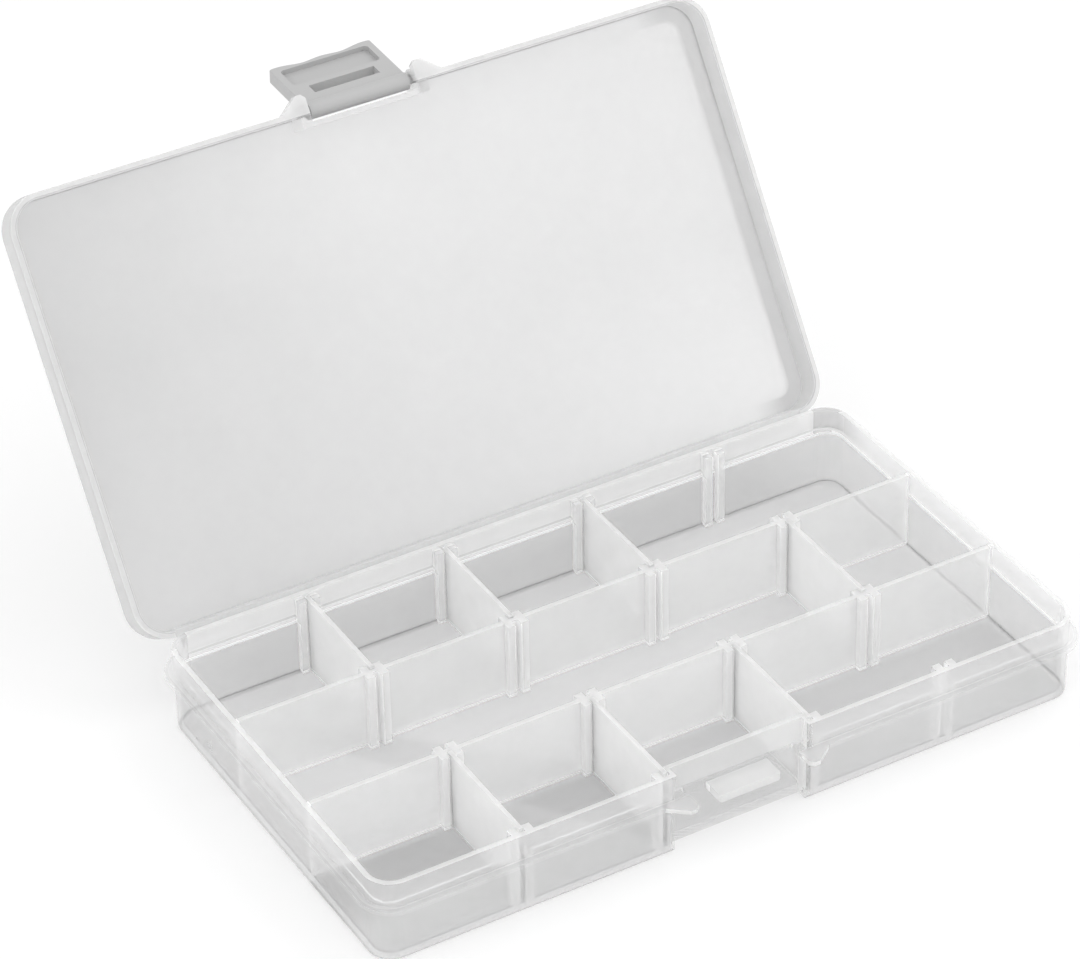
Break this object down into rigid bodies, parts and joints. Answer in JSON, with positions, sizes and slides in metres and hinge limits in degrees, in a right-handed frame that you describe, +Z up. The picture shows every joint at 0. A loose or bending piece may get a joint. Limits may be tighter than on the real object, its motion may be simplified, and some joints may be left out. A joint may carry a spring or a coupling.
{
  "type": "compartment storage box",
  "caption": "Shallow translucent box with a hinged lid, a snap latch, fixed partitions and lift-out cross dividers, for sorting beads and other small parts.",
  "frame": {"origin": "centre of the tray's underside, on the surface it stands on", "axes": "+X along the long side to the right, +Y towards the film hinge at the back, +Z up; stored open as pictured"},
  "size_m": [0.175, 0.1838, 0.1015],
  "materials": {
    "tray_polypropylene": "natural translucent polypropylene, satin as moulded",
    "lid_polypropylene": "natural translucent polypropylene, satin as moulded",
    "divider_polypropylene": "natural translucent polypropylene, satin as moulded",
    "latch_polypropylene": "light grey opaque polypropylene, fine matt texture"
  },
  "bodies": {
    "tray": {"tray": "tray_polypropylene"},
    "lid": {"lid": "lid_polypropylene"},
    "latch": {"latch": "latch_polypropylene"},
    "divider_back_1": {"divider_back_1": "divider_polypropylene"},
    "divider_back_2": {"divider_back_2": "divider_polypropylene"},
    "divider_back_3": {"divider_back_3": "divider_polypropylene"},
    "divider_middle_4": {"divider_middle_4": "divider_polypropylene"},
    "divider_front_1": {"divider_front_1": "divider_polypropylene"},
    "divider_front_2": {"divider_front_2": "divider_polypropylene"},
    "divider_front_3": {"divider_front_3": "divider_polypropylene"}
  },
  "joints": [
    {"name": "lid_hinge", "type": "hinge", "parent": "tray", "child": "lid", "pos_m": [0, 0.0518, 0.0147], "axis": [-1, 0, 0], "range_deg": [-124.3, 45.7]},
    {"name": "latch_hinge", "type": "hinge", "parent": "lid", "child": "latch", "pos_m": [0, 0.11194, 0.0963], "axis": [-1, 0, 0], "range_deg": [-143.5, 26.5]},
    {"name": "divider_back_1_lift", "type": "slide", "parent": "tray", "child": "divider_back_1", "axis": [0, 0, 1], "range_m": [0, 0.022]},
    {"name": "divider_back_2_lift", "type": "slide", "parent": "tray", "child": "divider_back_2", "axis": [0, 0, 1], "range_m": [0, 0.022]},
    {"name": "divider_back_3_lift", "type": "slide", "parent": "tray", "child": "divider_back_3", "axis": [0, 0, 1], "range_m": [0, 0.022]},
    {"name": "divider_middle_4_lift", "type": "slide", "parent": "tray", "child": "divider_middle_4", "axis": [0, 0, 1], "range_m": [0, 0.022]},
    {"name": "divider_front_1_lift", "type": "slide", "parent": "tray", "child": "divider_front_1", "axis": [0, 0, 1], "range_m": [0, 0.022]},
    {"name": "divider_front_2_lift", "type": "slide", "parent": "tray", "child": "divider_front_2", "axis": [0, 0, 1], "range_m": [0, 0.022]},
    {"name": "divider_front_3_lift", "type": "slide", "parent": "tray", "child": "divider_front_3", "axis": [0, 0, 1], "range_m": [0, 0.022]}
  ]
}
